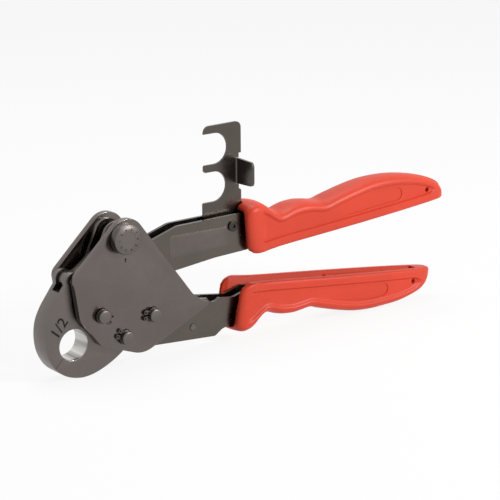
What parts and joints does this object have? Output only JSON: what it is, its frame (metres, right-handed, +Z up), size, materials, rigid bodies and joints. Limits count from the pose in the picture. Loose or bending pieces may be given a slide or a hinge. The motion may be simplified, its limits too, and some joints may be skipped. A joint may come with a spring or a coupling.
{
  "type": "pex crimp ring tool",
  "caption": "One-hand crimping tool for copper rings on PEX pipe: ring die in side plates, toggle handle, fixed handle, dial and fold-out gauge.",
  "frame": {"origin": "centre of the base of the bounding box, on the ground under the fixed jaw's and lower grip's bellies", "axes": "+X along the tool from the ring die to the grips, +Y across the tool away from the dial, +Z up"},
  "size_m": [0.2919, 0.0356, 0.1295],
  "materials": {
    "blackened_steel": "black oxide, satin",
    "dark_pin_steel": "black oxide, turned",
    "spring_steel": "phosphated",
    "red_plastic": "moulded, satin"
  },
  "bodies": {
    "frame": {"front_side_plate": "blackened_steel", "rear_side_plate": "blackened_steel", "fixed_jaw": "blackened_steel", "lower_handle_channel": "blackened_steel", "jaw_hinge_pin": "dark_pin_steel", "jaw_anchor_pin": "dark_pin_steel", "handle_pin": "dark_pin_steel", "lower_cross_pin": "dark_pin_steel", "front_hinge_pin_ring": "spring_steel", "front_anchor_pin_ring": "spring_steel", "front_handle_pin_ring": "spring_steel", "rear_hinge_pin_ring": "spring_steel", "rear_anchor_pin_ring": "spring_steel", "rear_handle_pin_ring": "spring_steel", "rear_adjuster_ring": "spring_steel", "front_jaw_washer": "spring_steel", "rear_jaw_washer": "spring_steel", "front_anchor_spacer": "spring_steel", "rear_anchor_spacer": "spring_steel", "front_handle_spacer": "spring_steel", "rear_handle_spacer": "spring_steel", "front_adjuster_spacer": "spring_steel", "rear_adjuster_spacer": "spring_steel", "lower_grip": "red_plastic"},
    "moving_jaw": {"moving_jaw": "blackened_steel", "fork_pin": "dark_pin_steel"},
    "push_link": {"push_link": "blackened_steel"},
    "upper_handle": {"upper_handle_channel": "blackened_steel", "upper_grip": "red_plastic", "knee_pin": "dark_pin_steel", "gauge_pivot_screw": "dark_pin_steel", "gauge_pivot_nut": "dark_pin_steel", "front_gauge_bush": "spring_steel", "rear_gauge_bush": "spring_steel"},
    "adjuster": {"adjuster_pin": "dark_pin_steel"},
    "gauge": {"gauge_plate": "blackened_steel"}
  },
  "joints": [
    {"name": "upper_handle_hinge", "type": "hinge", "parent": "frame", "child": "upper_handle", "pos_m": [-0.09788, 0, 0.07735], "axis": [0, -1, 0], "range_deg": [0, 50]},
    {"name": "moving_jaw_hinge", "type": "hinge", "parent": "frame", "child": "moving_jaw", "pos_m": [-0.11257, 0, 0.03528], "axis": [0, -1, 0], "range_deg": [-31.8, 0]},
    {"name": "push_link_hinge", "type": "hinge", "parent": "moving_jaw", "child": "push_link", "pos_m": [-0.12728, 0, 0.056], "axis": [0, -1, 0], "range_deg": [0, 7.6]},
    {"name": "adjuster_turn", "type": "hinge", "parent": "frame", "child": "adjuster", "pos_m": [-0.09788, 0, 0.07735], "axis": [0, -1, 0], "range_deg": [-120, 120]},
    {"name": "gauge_hinge", "type": "hinge", "parent": "upper_handle", "child": "gauge", "pos_m": [-0.01814, 0, 0.06994], "axis": [0, -1, 0], "range_deg": [0, 90]}
  ],
  "couplings": [
    {"joint": "moving_jaw_hinge", "follows": "upper_handle_hinge", "ratio": -0.631},
    {"joint": "push_link_hinge", "follows": "upper_handle_hinge", "ratio": 0.15}
  ]
}
